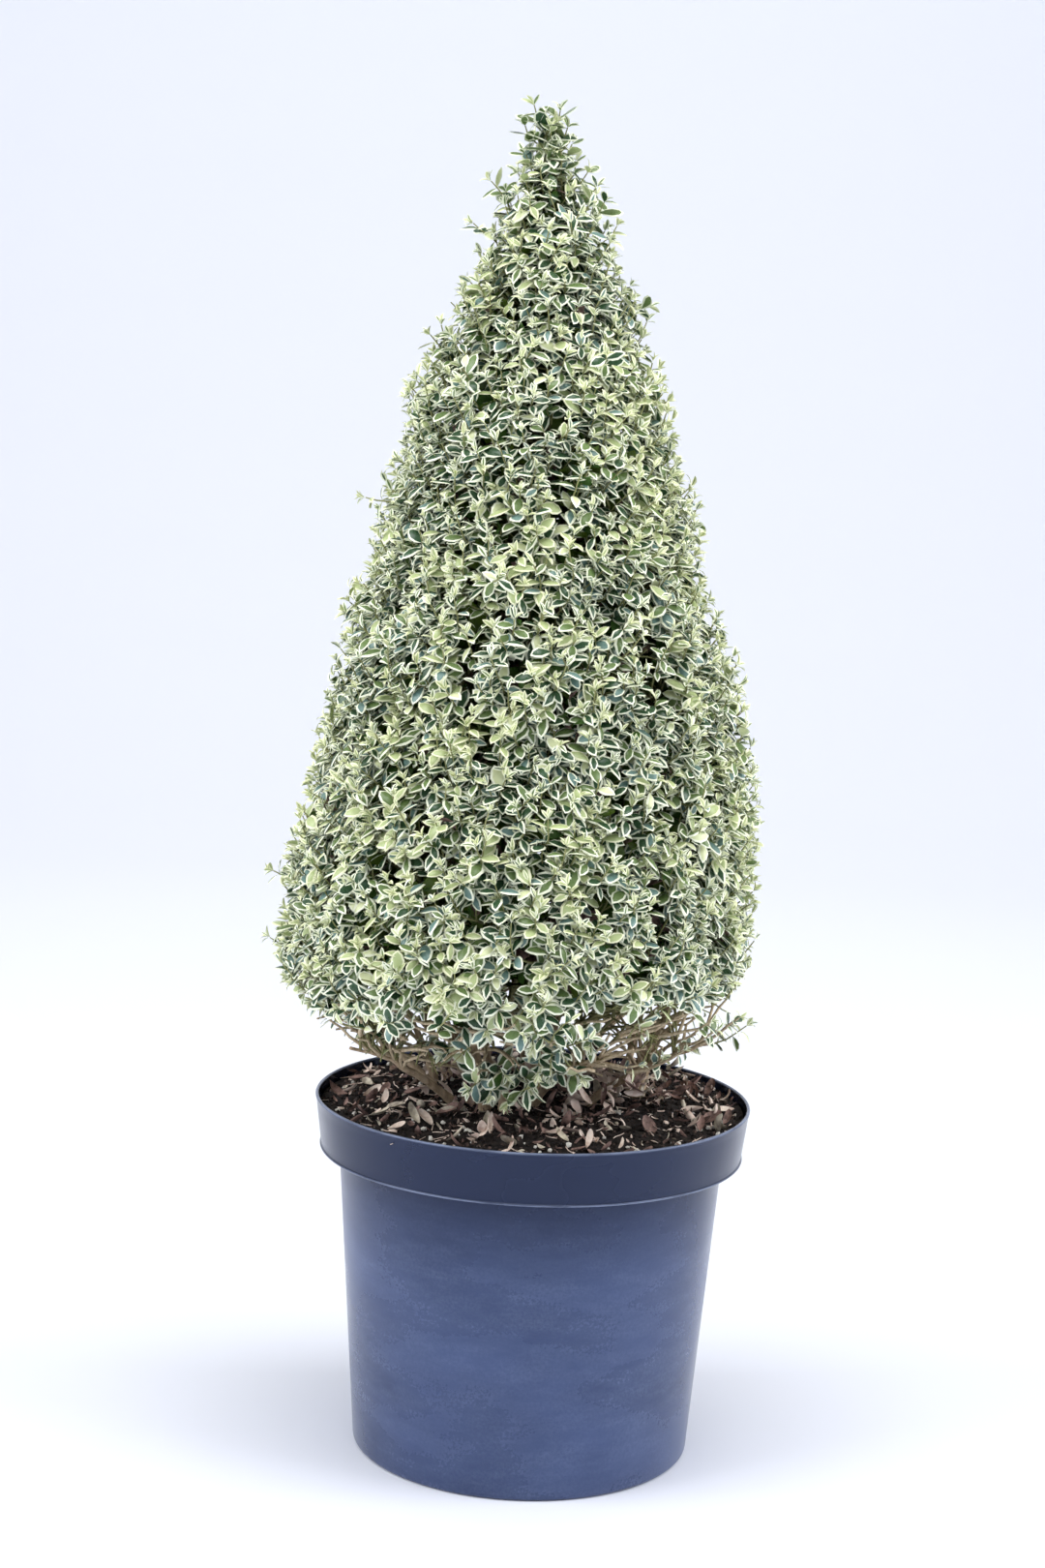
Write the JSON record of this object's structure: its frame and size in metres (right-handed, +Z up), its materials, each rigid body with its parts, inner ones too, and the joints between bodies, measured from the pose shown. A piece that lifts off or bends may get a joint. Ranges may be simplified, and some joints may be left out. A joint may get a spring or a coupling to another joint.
{
  "type": "potted boxwood cone topiary",
  "caption": "Clipped cone of variegated boxwood on bare low stems, growing in a round black nursery pot with a stepped collar, filled with potting soil.",
  "frame": {"origin": "middle of the pot's flat underside, on the pot's own axis", "axes": "+Z up along the stems to the tip of the cone; -Y is the side the plant is seen from, +X to that side's right"},
  "size_m": [0.3133, 0.3072, 0.8452],
  "materials": {
    "pot_plastic": "moulded black polypropylene, glossy with fine scuffs",
    "potting_soil": "moist dark peat with white perlite grains and dead leaves",
    "bark": "thin tan and grey bark, finely cracked lengthwise",
    "foliage": "small satin leaves, grey-green with cream margins"
  },
  "bodies": {
    "root": {"pot": "pot_plastic", "soil": "potting_soil", "foliage_crown": "foliage", "foliage_skirt_front": "foliage", "foliage_skirt_right_front": "foliage", "foliage_skirt_right_back": "foliage", "foliage_skirt_back": "foliage", "foliage_skirt_left_back": "foliage", "foliage_skirt_left_front": "foliage", "bough_front_low": "bark", "bough_right_front_low": "bark", "bough_right_back_low": "bark", "bough_back_low": "bark", "bough_left_back_low": "bark", "bough_left_front_low": "bark", "stem_left_1": "bark", "stem_left_2": "bark", "stem_left_3": "bark", "stem_right_1": "bark", "stem_right_2": "bark", "stem_right_3": "bark", "stem_front_1": "bark", "stem_front_2": "bark", "stem_back_1": "bark", "stem_back_2": "bark", "stem_centre_1": "bark"}
  },
  "joints": []
}
